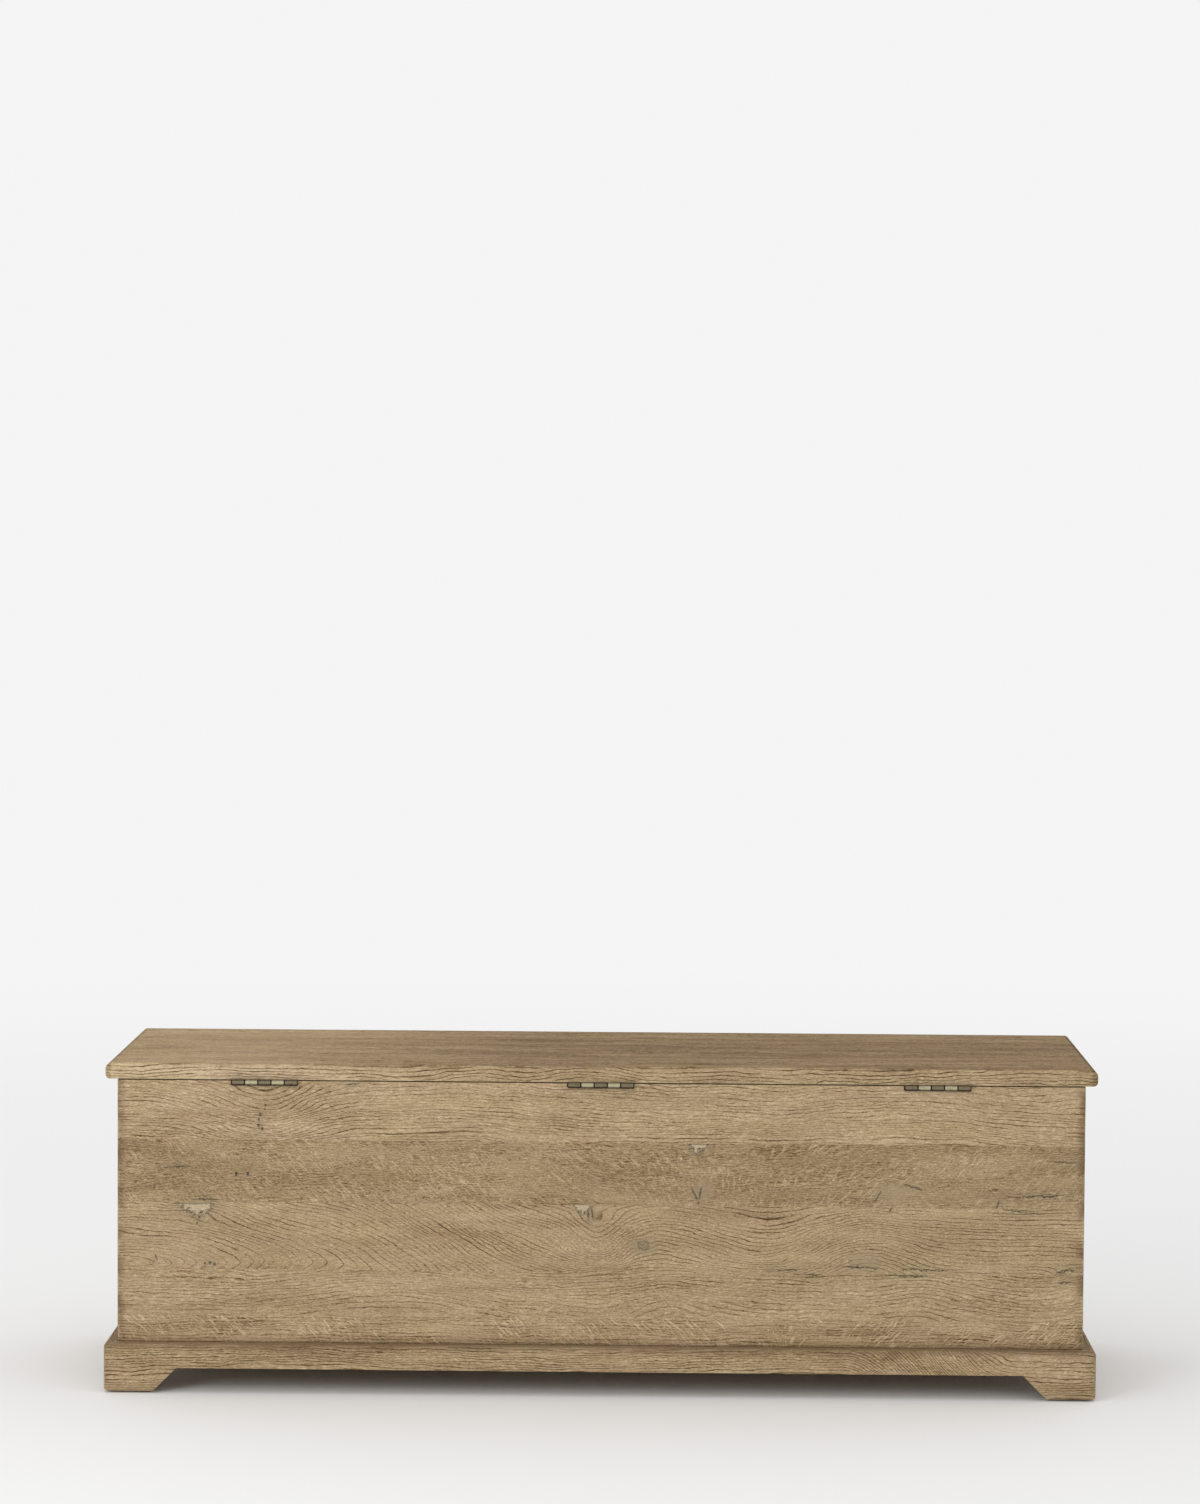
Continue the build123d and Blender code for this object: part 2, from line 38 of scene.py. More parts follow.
class Value:
    """A number in a material's node tree, so that a pattern reads as ordinary arithmetic."""

    def __init__(self, graph, socket):
        self.graph = graph
        self.socket = socket

    def _math(self, operation, *others):
        return self.graph.math(operation, self, *others)

    def __add__(self, other):
        return self._math("ADD", other)

    def __sub__(self, other):
        return self._math("SUBTRACT", other)

    def __mul__(self, other):
        return self._math("MULTIPLY", other)

    def __truediv__(self, other):
        return self._math("DIVIDE", other)

    def __pow__(self, other):
        return self._math("POWER", other)

    def __neg__(self):
        return self._math("MULTIPLY", -1.0)

    def __rsub__(self, other):
        return self.graph.math("SUBTRACT", other, self)

    __radd__ = __add__

    def sqrt(self):
        return self._math("SQRT")

    def abs(self):
        return self._math("ABSOLUTE")

    def exp(self):
        return self._math("EXPONENT")

    def fract(self):
        return self._math("FRACT")

    def least(self, other):
        return self._math("MINIMUM", other)

    def most(self, other):
        return self._math("MAXIMUM", other)

    def ramp(self, low, high):
        """0 below low, 1 above high, smooth between; the other way round if low is above high."""
        node = self.graph.node("ShaderNodeMapRange", interpolation_type="SMOOTHSTEP")
        self.graph.feed(node.inputs["Value"], self)
        flip = low > high
        node.inputs["From Min"].default_value = min(low, high)
        node.inputs["From Max"].default_value = max(low, high)
        node.inputs["To Min"].default_value = 1.0 if flip else 0.0
        node.inputs["To Max"].default_value = 0.0 if flip else 1.0
        return Value(self.graph, node.outputs["Result"])


class Graph:
    """A new material and the few kinds of node that its patterns use."""

    def __init__(self, name, **shader):
        self.material = bpy.data.materials.new(name)
        self.material.use_nodes = True
        self.tree = self.material.node_tree
        self.tree.nodes.clear()
        self.shader = self.node("ShaderNodeBsdfPrincipled")
        output = self.node("ShaderNodeOutputMaterial")
        self.tree.links.new(self.shader.outputs["BSDF"], output.inputs["Surface"])
        for socket, value in shader.items():
            self.shader.inputs[socket.replace("_", " ")].default_value = value

    def node(self, kind, **settings):
        made = self.tree.nodes.new(kind)
        for name, value in settings.items():
            setattr(made, name, value)
        return made

    def feed(self, socket, value):
        if isinstance(value, Value):
            self.tree.links.new(value.socket, socket)
        else:
            socket.default_value = value

    def math(self, operation, *values):
        made = self.node("ShaderNodeMath", operation=operation)
        for socket, value in zip(made.inputs, values):
            self.feed(socket, value)
        return Value(self, made.outputs[0])

    def position(self):
        """x, y and z in the row frame at rest, in millimetres."""
        place = self.node("ShaderNodeTexCoord")
        split = self.node("ShaderNodeSeparateXYZ")
        self.tree.links.new(place.outputs["Object"], split.inputs[0])
        return [Value(self, split.outputs[k]) * MM for k in (X, Y, Z)]

    def noise(self, x, y, z, detail=2.0, roughness=0.5):
        """Smooth noise from 0 to 1 about 0.5, with one bump per unit of x, y and z."""
        join = self.node("ShaderNodeCombineXYZ")
        for socket, value in zip(join.inputs, (x, y, z)):
            self.feed(socket, value)
        made = self.node("ShaderNodeTexNoise", noise_dimensions="3D")
        self.tree.links.new(join.outputs[0], made.inputs["Vector"])
        made.inputs["Scale"].default_value = 1.0
        made.inputs["Detail"].default_value = detail
        made.inputs["Roughness"].default_value = roughness
        return Value(self, made.outputs["Fac"])

    def blend(self, first, second, share):
        """Colour mixed from first to second by share; colours are (r, g, b) or a mix made before."""
        # Inputs 6 and 7 and output 2 are the node's colours: its numbers and vectors have the same names.
        made = self.node("ShaderNodeMix", data_type="RGBA")
        for socket, colour in ((made.inputs[6], first), (made.inputs[7], second)):
            if isinstance(colour, Value):
                self.tree.links.new(colour.socket, socket)
            else:
                socket.default_value = (*colour, 1.0)
        self.feed(made.inputs[0], share)
        return Value(self, made.outputs[2])

    def tint(self, level, colours):
        """Colour for a level of 0 to 1, from screen colours evenly spaced."""
        made = self.node("ShaderNodeValToRGB")
        stops = made.color_ramp.elements
        for _ in colours[2:]:
            stops.new(0.5)
        for k, colour in enumerate(colours):
            stops[k].position = k / (len(colours) - 1)
            stops[k].color = (*srgb(*colour), 1.0)
        self.feed(made.inputs["Fac"], level)
        return Value(self, made.outputs["Color"])

    def finish(self, colour, roughness, height):
        """Colour, roughness and relief, in millimetres, to the shader."""
        self.tree.links.new(colour.socket, self.shader.inputs["Base Color"])
        self.feed(self.shader.inputs["Roughness"], roughness)
        bump = self.node("ShaderNodeBump")
        bump.inputs["Strength"].default_value = 1.0
        bump.inputs["Distance"].default_value = 1.0
        self.feed(bump.inputs["Height"], height * (1.0 / MM))
        self.tree.links.new(bump.outputs["Normal"], self.shader.inputs["Normal"])
        return self.material


def srgb(red, green, blue):
    """Linear colour of screen values from 11 to 255."""
    return tuple(((c / 255 + 0.055) / 1.055) ** 2.4 for c in (red, green, blue))


# ---- oak ----

# From the darkest line to the palest latewood, in a redder and a yellower oak.
RED_OAK = ((84, 64, 44), (123, 100, 73), (157, 133, 103), (179, 156, 125), (204, 183, 153))
YELLOW_OAK = ((82, 66, 44), (121, 101, 71), (157, 135, 102), (181, 159, 124), (206, 186, 152))
# Dark brown of glaze, also used for painted shade at the plinth joint.
GLAZE_AND_SHADE = srgb(88, 68, 45)
FILLER = srgb(206, 188, 158)
FILLER_SHADE = srgb(66, 60, 50)
HALO = srgb(138, 126, 102)
SMEAR = srgb(161, 143, 117)


@dataclass
class Pattern:
    """Noise drawn out along the grain. Its size is in millimetres along the grain, across it and in depth."""

    along: float
    across: float
    deep: float
    detail: float = 2.0
    roughness: float = 0.5
    shift: float = 1.0  # keeps patterns of one board apart: the seed is multiplied by it

    def on(self, g, u, v, w, seed):
        """The noise, from 0 to 1 about 0.5, on a board with that seed."""
        deep = w / self.deep + seed * self.shift
        return g.noise(u / self.along, v / self.across, deep, self.detail, self.roughness)


WANDER = Pattern(300, 110, 110, roughness=0.4)  # the grain's slow drift
RIPPLE = Pattern(75, 26, 26, detail=3, roughness=0.55, shift=1.7)  # and its small waves
TUFTS = Pattern(120, 22, 26, roughness=0.6, shift=2.9)  # where the dark strokes gather
FINE = Pattern(12, 1.6, 1.6, roughness=0.7)  # short strokes
PORES = Pattern(3.6, 1.1, 1.1, detail=1)
CLOUDS = Pattern(190, 30, 45, detail=4, roughness=0.6, shift=2.3)  # lighter and darker areas
HUES = Pattern(150, 40, 40, detail=3, roughness=0.6, shift=4.1)  # redder and yellower areas
RUBBING = Pattern(60, 42, 42, detail=5, roughness=0.6)  # where hands and cloths have rubbed
FLECK_BEND = Pattern(45, 28, 28, detail=1)
FLECK_CLOUDS = Pattern(90, 34, 60, shift=1.3)

CATHEDRAL_SLOPE = 0.38  # how closely the rings crowd where the face is sawn along them
DEPTH_DRIFT = 260  # length of the pith's waves in depth
RING_UNEVEN = 2.6  # how far the rings stray from even widths, in rings
KNOT_REACH = 1.9  # the rings bend round a knot up to this many times its size away
KNOT_RINGS = 0.35  # by so many rings for each millimetre of its half width
LINE_EDGE = (0.0, 0.35)  # millimetres past a ring in which its dark line sets in
LINE_FADE = (1.75, 0.65)  # where it has gone again, and where it begins to fade
FLECK_SIZE = (4.4, 17, 8)  # width, height and depth of a ray fleck

# The level is where a place lies between the darkest colour, 0, and the palest, 1.
PLAIN_LEVEL = 0.555
TONE = 0.4  # change of level for a tone of 1
CLOUD_LEVEL = 0.6
RING_DARK, RING_DARK_TUFTS = 0.14, 0.26  # darkness of the rings' lines, and what a tuft adds to it
FINE_DARK, FINE_DARK_TUFTS = 0.35, 0.9  # the same for the short strokes
FINE_PALE = 1.2  # lightness between the short strokes
PORE_DARK, PORE_PALE = 0.8, 0.9
FLECK_PALE, FLECK_COVER = 0.15, 0.6  # a fleck's lightness, and how much it hides of the dark lines
BARE_PALE, BARE_COVER = 0.12, 0.35  # the same for a face that was left unglazed
BELOW_FACE = (1.0, 4.0)  # millimetres below the outer face in which an edge's own look sets in
END_BAND = (-12.0, -7.0)  # the same for the darker end grain, from the end of the board
END_DARK, END_DARK_TUFTS = 0.16, 0.1
RELIEF = -0.45  # height of the darkest lines in millimetres
MATT, MATT_DARK, MATT_MOST = 0.6, 0.3, 0.9  # roughness, what dark lines add to it, and its limit

# A reach says where something begins and where it is full, in millimetres from an edge or a height.
# Worn edges are paler: wear, and a painted highlight on the rounded edges.
WORN_HIGHLIGHT_REACH, GLAZE_REACH = (4.5, 0.6), (17.0, 2.0)
WORN_HIGHLIGHT_RUBBING, GLAZE_RUBBING = (0.42, 0.62), (0.66, 0.4)  # glaze stays where nothing rubbed it off
WORN_HIGHLIGHT_SHARE = 0.4
FOOT_REACH, FOOT_SHADOW_LINE = (15.0, 0.0), (3.5, 0.5)  # glaze with painted shade just above the plinth, and a painted shadow line at the joint
BROW_REACH = (-9.0, -2.0)  # glaze with painted shade on the plinth's rounded top edge, just below the joint


@dataclass
class Cut:
    """How a board was sawn from its log and what shows on it, in millimetres along and across its face."""

    pith: float  # the log's centre across the face; far off the board the grain is straight
    depth: float  # the log's centre behind the face
    seed: float = 0.0
    lean: float = 0.0  # drift of the centre across the face, mm per mm along
    roll: float = 14.0  # how far the centre wanders in depth
    ring: float = 4.4  # width of a growth ring
    point: float = 2.0  # 2 for round rings, less for rings squeezed to a point across the face
    wander: float = 14.0  # how far the grain wanders off its line
    tone: float = 0.0  # lighter above 0
    # A painted pool of light: the board is painted lighter beyond one place along it.
    painted_light: tuple = (0.0, 1.0, 0.0)  # (from, to, tone): lighter beyond one place along the board
    lines: float = 1.0  # strength of the growth rings' dark lines
    flow: float = 0.2  # how unbroken those lines are
    grain: float = 1.0  # strength of the short dark strokes between them
    edge_lines: float = None  # strength of the lines on the board's edges, if it differs
    edge_tone: float = 0.0  # tone of the edges, if edge_lines is given
    flecks: float = 0.0  # strength of the ray flecks
    fan: tuple = (0.0, 0.0, 2000.0)  # (along, across, spread): flecks stand up there and lean beyond it
    sinks: tuple = ()  # (from, to, mm): the centre sinks by mm between two places along the board
    bends: tuple = ()  # (from, to, mm): the centre moves across the face between two places along the board
    swirls: tuple = ()  # (along, across, half length, half width, rings)
    knots: tuple = ()  # (along, across, half length, half width)
    smears: tuple = ()  # filler rubbed into the grain: (along, across, half length, half width)
    pins: tuple = ()  # (along, across, radius)
    fillers: tuple = ()  # (along, top, half length, height)
    cracks: tuple = ()  # (along, across, half length, slope in degrees)


def bell(u, v, along, across, half_length, half_width):
    """1 at a place on the board, falling smoothly to 0 about two half sizes away."""
    du = (u - along) / half_length
    dv = (v - across) / half_width
    return (-(du * du + dv * dv)).exp()


def ring_field(g, u, v, w, cut):
    """Distance from the pith in rings, and how closely they crowd, up to 1, on the face and the edges."""
    seed = cut.seed
    depth = (g.noise(u / DEPTH_DRIFT, seed * 3.1, 0.5, 1.0) - 0.5) * (4 * cut.roll) + cut.depth
    for start, stop, gain in cut.sinks:
        depth = depth + u.ramp(start, stop) * gain
    dv = v - (u * cut.lean + cut.pith)
    for start, stop, gain in cut.bends:
        dv = dv - u.ramp(start, stop) * gain
    dw = depth - w
    distance = (dv.abs() ** cut.point + dw.abs() ** cut.point) ** (1 / cut.point)
    ring = distance / cut.ring
    ring = ring + (g.noise(ring * 0.23, seed * 5.3, 0.2, 1.0) - 0.5) * RING_UNEVEN
    for swirl in cut.swirls:
        ring = ring + bell(u, v, *swirl[:4]) * swirl[4]
    for along, across, *halves in cut.knots:
        reach = [half * KNOT_REACH for half in halves]
        ring = ring + bell(u, v, along, across, *reach) * (halves[1] * KNOT_RINGS)
    crowding = cut.point - 1
    return ring, (dv.abs() / distance) ** crowding, (dw.abs() / distance) ** crowding


def ring_lines(g, u, v, w, cut, edge):
    """The growth rings' dark lines, from 0 to 1, broken into strokes; edge is 1 on the board's edges."""
    ring, on_face, on_edge = ring_field(g, u, v, w, cut)
    crowding = (on_face + (on_edge - on_face) * edge).most(CATHEDRAL_SLOPE)
    past = ring.fract() * cut.ring / crowding  # millimetres past a growth ring
    line = past.ramp(*LINE_EDGE) * past.ramp(*LINE_FADE) * (1.0 - edge * on_edge.ramp(0.6, 0.25))
    strokes = g.noise(u / 60, ring * 0.9 + cut.seed, w / 40, 3.0, 0.65).ramp(0.3, 0.52)
    return line * strokes.most(cut.flow)


def fleck_field(g, u, v, w, cut):
    """Ray flecks: pale dashes that lean out from one place, up to 45 degrees, and come and go in clouds."""
    along, across, spread = cut.fan
    lean = ((u - along) / spread).most(-1.0).least(1.0)
    foot = u - (v - across) * lean + (FLECK_BEND.on(g, u, v, w, cut.seed) - 0.5) * 14
    wide, high, deep = FLECK_SIZE
    dashes = g.noise(foot / wide, v / high, w / deep + cut.seed, 2.0, 0.6).ramp(0.53, 0.62)
    clouds = FLECK_CLOUDS.on(g, u, v, w, cut.seed).ramp(0.4, 0.56)
    return (dashes - 0.25) * clouds * cut.flecks


def middle_of(a, b, c):
    """The middle one of three numbers."""
    return a.least(b).most(a.most(b).least(c))


def arris_distance(x, y, z, low, high):
    """Distance to the nearest edge of a box, from a point on its surface."""
    near = []
    for place, lowest, highest in zip((x, y, z), low, high):
        middle, half = (lowest + highest) / 2, (highest - lowest) / 2
        near.append(half - (place - middle).abs())
    return middle_of(*near)


def wandering(g, u, v, w, cut):
    """The place across the face, moved as far as the grain wanders there."""
    wander = WANDER.on(g, u, v, w, cut.seed) - 0.5
    ripple = RIPPLE.on(g, u, v, w, cut.seed) - 0.5
    return v + wander * (1.8 * cut.wander) + ripple * cut.wander


def shades(g, u, v, wavy, w, cut, thick, ends, bare):
    """The level of the wood's colour and the darkness of its lines; wavy is v in the wandering grain."""
    below = w.ramp(*BELOW_FACE)
    edge = below * w.ramp(thick, thick - 3.0)
    tufts = TUFTS.on(g, u, wavy, w, cut.seed).ramp(0.32, 0.68)
    fine = FINE.on(g, u, wavy, w, cut.seed) - 0.5
    pores = PORES.on(g, u, wavy, w, cut.seed) - 0.5

    strength = cut.lines
    level = (CLOUDS.on(g, u, wavy, w, cut.seed) - 0.5) * CLOUD_LEVEL + (PLAIN_LEVEL + TONE * cut.tone)
    # Edges may take their own tone. On the lid they stay paler than the top, whose darker tone is partly
    # painted shade.
    if cut.edge_lines is not None:
        strength = edge * (cut.edge_lines - cut.lines) + cut.lines
        level = level + below * (TONE * (cut.edge_tone - cut.tone))
    dark = ring_lines(g, u, wavy, w, cut, edge) * (tufts * RING_DARK_TUFTS + RING_DARK) * strength
    dark = dark + fine.most(0.0) * (tufts * FINE_DARK_TUFTS + FINE_DARK) * cut.grain
    dark = dark + pores.most(0.0) * PORE_DARK
    level = level - fine.least(0.0) * FINE_PALE - pores.least(0.0) * PORE_PALE
    # Painted light: lighter beyond one place along the board, as if lit from that end.
    if cut.painted_light[2]:
        level = level + u.ramp(*cut.painted_light[:2]) * (TONE * cut.painted_light[2])
    if bare:
        inner = w.ramp(thick - 2.5, thick - 0.5)
        level = level + inner * BARE_PALE
        dark = dark * (1.0 - inner * BARE_COVER)
    if cut.flecks:
        flecks = fleck_field(g, u, v, w, cut)
        dark = dark * (1.0 - flecks * FLECK_COVER).most(0.1)
        level = level + flecks * FLECK_PALE
    if ends is not None:
        band = (u.abs() - ends + fine * 8).ramp(*END_BAND)
        level = level - band * (tufts * END_DARK_TUFTS + END_DARK)
    return level, dark


def oak(name, axes, cut, thick, shell, glaze, sheen, foot=None, brow=None, ends=None, bare=False):
    """Brushed oak: growth rings with dark pore lines, ray flecks, blemishes, glaze and worn edges, with
    painted light and shade.

    axes turns x, y, z into along, across and depth, up to thick. shell is the box whose edges are worn and
    carry a painted highlight, and glaze is how much glaze has gathered there. Glaze and painted shade also
    darken it just above the height foot and just below the height brow. ends is the distance from the middle
    to end grain. bare is for a board whose inner face was left unglazed. sheen is the specular level.
    """
    g = Graph(name, Specular_IOR_Level=sheen)
    x, y, z = g.position()
    u, v, w = axes(x, y, z)
    wavy = wandering(g, u, v, w, cut)
    level, dark = shades(g, u, v, wavy, w, cut, thick, ends, bare)
    level = level - dark
    hue = HUES.on(g, u, v, w, cut.seed).ramp(0.35, 0.65)
    colour = g.blend(g.tint(level, RED_OAK), g.tint(level, YELLOW_OAK), hue)
    colour, relief = blemishes(g, u, wavy, w, cut, colour, dark * RELIEF)

    arris = arris_distance(x, y, z, *shell)
    rub = RUBBING.on(g, u, v, w, cut.seed)
    # Paler near the edges where rubbed: wear, with a painted highlight on the rounded edges.
    worn_and_highlight = arris.ramp(*WORN_HIGHLIGHT_REACH) * rub.ramp(*WORN_HIGHLIGHT_RUBBING)
    glaze_and_shade_mask = arris.ramp(*GLAZE_REACH) * rub.ramp(*GLAZE_RUBBING)
    colour = g.blend(colour, GLAZE_AND_SHADE, glaze_and_shade_mask * glaze)
    colour = g.blend(colour, srgb(*YELLOW_OAK[4]), worn_and_highlight * WORN_HIGHLIGHT_SHARE)
    # Glaze with painted shade in the corner just above the plinth, and a painted shadow line at the joint.
    if foot is not None:
        height = z - foot
        glaze_and_shade_mask = height.ramp(*FOOT_REACH) * 0.3 + height.ramp(*FOOT_SHADOW_LINE) * 0.5
        colour = g.blend(colour, GLAZE_AND_SHADE, glaze_and_shade_mask * (rub * 0.8 + 0.6))
    # Glaze with painted shade on the plinth's rounded top edge, just below the joint with the carcass.
    if brow is not None:
        height = z - brow
        colour = g.blend(colour, GLAZE_AND_SHADE, height.ramp(*BROW_REACH) * (rub * 0.5 + 0.1))
    return g.finish(colour, (dark * MATT_DARK + MATT).least(MATT_MOST), relief)


class Face:
    """The outer face of a board, while its blemishes are painted."""

    def __init__(self, g, u, v, w, seed, colour, relief):
        self.g, self.u, self.v = g, u, v
        self.colour, self.relief = colour, relief
        self.near = w.ramp(9.0, 3.0)  # 1 at the face, 0 inside the board
        self.rough = g.noise(u / 6, v / 5, seed, 4.0, 0.7) - 0.5
        self.crumbs = g.noise(u / 3.2, v / 2.6, seed + 9, 2.0)
        self.specks = self.crumbs.ramp(0.58, 0.66)

    def bell(self, along, across, half_length, half_width):
        return bell(self.u, self.v, along, across, half_length, half_width)

    def paint(self, colour, share):
        self.colour = self.g.blend(self.colour, colour, share)

    def smear(self, along, across, half_length, half_width):
        patch = self.bell(along, across, half_length, half_width) + self.rough * 0.5
        patch = patch.ramp(0.2, 0.6) * self.near
        self.paint(SMEAR, patch * (0.46 - self.specks * 0.3))
        self.relief = self.relief * (1.0 - patch * 0.6)

    def knot(self, along, across, half_length, half_width):
        halo = self.bell(along, across, half_length * 2.2, half_width * 2.0) * self.near
        core = self.bell(along, across, half_length, half_width)
        core = core + self.rough * 0.8 + (self.crumbs - 0.5) * 0.4
        outline = core.ramp(0.3, 0.4) * core.ramp(0.62, 0.46) * (self.rough + 0.6) * self.near
        self.paint(HALO, halo * 0.35)
        self.paint(GLAZE_AND_SHADE, core.ramp(0.4, 1.0) * self.near * 0.22)
        speckle = self.specks * core.ramp(0.3, 0.6) * self.near
        self.paint(FILLER_SHADE, (outline * 0.75 + speckle * 0.4).least(1.0))
        self.relief = self.relief - outline * 0.5

    def pinhole(self, along, across, radius):
        hole = self.bell(along, across, radius, radius * 1.3) + self.rough * 0.25
        hole = hole.ramp(0.35, 0.65) * self.near
        halo = self.bell(along, across, radius * 3.0, radius * 4.0) * self.near
        self.paint(HALO, halo * (self.rough * 0.8 + 0.2))
        self.paint(FILLER_SHADE, hole * 0.8)
        self.relief = self.relief - hole * 0.8

    def filler(self, along, top, half_length, height):
        """A ragged patch of filler that hangs from a seam, with a painted shadow along the seam."""
        reach = (self.u - along) / half_length
        body = 1.0 - reach * reach + (self.v - top) / height + self.rough * 2.2
        under = (self.v - top + self.rough * 5).ramp(1.5, 0.0) * self.near
        patch = body.ramp(0.0, 0.14) * under
        rim = body.ramp(-0.2, 0.0) * body.ramp(0.3, 0.1) * under
        halo = self.bell(along, top - height * 0.4, half_length * 1.4, height * 1.1) * self.near
        # Painted shadow: a dark line along the seam above the patch.
        seam_shadow = (self.v - top + self.rough * 3).abs().ramp(1.8, 0.5) * reach.abs().ramp(1.5, 0.9)
        seam_shadow = seam_shadow * (self.rough + 0.5) * self.near
        mottling = (self.crumbs - 0.5).most(0.0) * patch * 1.6
        self.paint(HALO, halo * 0.45)
        self.paint(FILLER, patch * (0.62 + self.rough * 0.9))
        self.paint(FILLER_SHADE, (rim * (self.specks * 0.9 + 0.35) + mottling + seam_shadow).least(1.0))
        self.relief = self.relief - rim * 0.5

    def crack(self, along, across, half_length, slope):
        cos, sin = math.cos(math.radians(slope)), math.sin(math.radians(slope))
        p = (self.u - along) * cos + (self.v - across) * sin + self.rough * 6
        q = (self.v - across) * cos - (self.u - along) * sin + self.rough * 8
        line = (-(p / half_length) ** 2.0 - (q / 1.1) ** 2.0).exp() + self.rough * 0.8
        line = line.ramp(0.35, 0.8) * self.near
        halo = bell(p, q, 0.0, 0.0, half_length * 1.3, half_length * 0.3 + 6.0) * self.near
        self.paint(HALO, halo * (self.rough * 0.9 + 0.2))
        self.paint(FILLER_SHADE, line * 0.75)
        self.relief = self.relief - line * 0.8


def blemishes(g, u, v, w, cut, colour, relief):
    """Smears, knots, pinholes, patches of filler and cracks, on the outer face only."""
    if not (cut.knots or cut.smears or cut.pins or cut.fillers or cut.cracks):
        return colour, relief
    face = Face(g, u, v, w, cut.seed, colour, relief)
    kinds = (
        (face.smear, cut.smears), (face.knot, cut.knots), (face.pinhole, cut.pins),
        (face.filler, cut.fillers), (face.crack, cut.cracks),
    )
    for paint_one, places in kinds:
        for place in places:
            paint_one(*place)
    return face.colour, face.relief


# ---- boards ----

# Painted light: the lid's top is painted paler towards +X, as if lit from that side.
LID_PAINTED_LIGHT = (60.0, 600.0, 0.6)  # the lid is paler towards +X

# The back is the side that faces the camera. Along is +X, and across is the height, or +Y on the lid.
KNOWN_CUTS = {
    "back_board_1": Cut(
        pith=506, depth=34, seed=1.3, lean=0.012, roll=9, ring=4.3, tone=0.24, lines=1.35, flow=0.3,
        grain=0.85, bends=((-440, -760, -20),),
        swirls=((519, 436, 85, 70, -7.5), (-200, 478, 170, 60, -2.5), (200, 440, 150, 40, 1.5)),
        pins=(
            (515, 444, 1.7), (516, 437, 1.4), (523, 428, 2.0),
            (525, 421, 1.8), (526, 413, 2.2), (520, 409, 2.0),
        ),
        cracks=((381, 480, 14, 0),),
    ),
    "back_board_2": Cut(
        pith=820, depth=60, seed=2.9, lean=-0.02, roll=20, ring=4.0, wander=16, tone=-0.12, lines=0.5,
        flecks=1.1, fan=(-190, 290, 230),
        pins=((560, 336, 2.3), (542, 336, 2.3), (334, 301, 1.6), (-151, 299, 1.6)),
        smears=((-446, 312, 26, 15), (-160, 322, 16, 20)),
        fillers=((-151, 390, 14, 12),),
        cracks=(
            (-145, 316, 17, 68), (-154, 318, 15, 97), (-426, 308, 13, 125), (-610, 300, 9, 115),
            (-479, 326, 18, 12), (-672, 313, 60, 0), (-710, 364, 30, 0), (652, 345, 26, 0), (604, 301, 30, 0),
        ),
    ),
    "back_board_3": Cut(
        pith=200, depth=3, seed=4.1, roll=4, ring=4.7, point=1.5, wander=13, tone=0.13, lines=1.45, flow=0.25,
        grain=0.75, sinks=((800, 240, 108),), bends=((400, 60, -130),),
        swirls=(
            (4, 240, 50, 44, 8.0), (-402, 214, 86, 58, -6.4), (-264, 236, 105, 60, 5.6),
            (612, 286, 70, 18, -2.6), (-66, 230, 34, 16, -2.0),
        ),
        knots=((-67, 230, 9, 7), (-708, 196, 8, 5)),
        smears=((-410, 211, 26, 13), (-70, 228, 22, 13)),
        pins=(
            (620, 264, 1.5), (617, 272, 1.3), (580, 303, 1.5), (-396, 203, 2.0),
            (608, 198, 2.0), (600, 199, 2.5), (593, 197, 2.2),
        ),
        fillers=((620, 295, 26, 19), (26, 294, 16, 16)),
        cracks=(
            (12, 278, 12, 80), (18, 276, 10, 84), (-446, 289, 6, 125), (-287, 200, 26, 0), (-400, 202, 34, 3),
            (-503, 201, 54, 0), (-715, 202, 16, -10), (683, 208, 5, 60), (-650, 290, 50, 4),
        ),
    ),
    "back_board_4": Cut(
        pith=92, depth=40, seed=5.7, lean=0.01, roll=16, ring=4.4, tone=0.16, lines=1.1, grain=0.85,
        swirls=(
            (331, 158, 120, 44, -4.0), (-100, 150, 62, 34, -3.0),
            (-495, 160, 80, 36, -2.5), (120, 180, 90, 30, 2.0),
        ),
        cracks=((-460, 188, 60, 2), (-330, 188, 16, 0), (40, 191, 40, -4), (-716, 180, 16, 0)),
    ),
    "back_board_5": Cut(
        pith=-260, depth=30, seed=7.9, roll=18, ring=4.2, tone=0.22, lines=1.1,
        flecks=1.5, fan=(-282, 74, 90),
    ),
    # The lid's top is darker in tone: partly its own darker finish, partly painted shade for the light the
    # top misses.
    "lid_board_1": Cut(
        pith=-200, depth=74, seed=21.3, roll=8, ring=4.5, wander=15, tone=-0.4, lines=0.75, edge_lines=2.0,
        edge_tone=0.15, painted_light=LID_PAINTED_LIGHT,
    ),
    "lid_board_4": Cut(
        pith=176, depth=72, seed=10.7, roll=9, ring=4.6, wander=18, tone=-0.46, lines=0.7, edge_lines=2.8,
        edge_tone=0.2, painted_light=LID_PAINTED_LIGHT,
    ),
    "plinth_back": Cut(
        pith=262, depth=30, seed=9.3, roll=12, ring=4.8, tone=0.13, lines=2.3, flow=0.35,
        bends=((-375, -640, -176),),
    ),
}


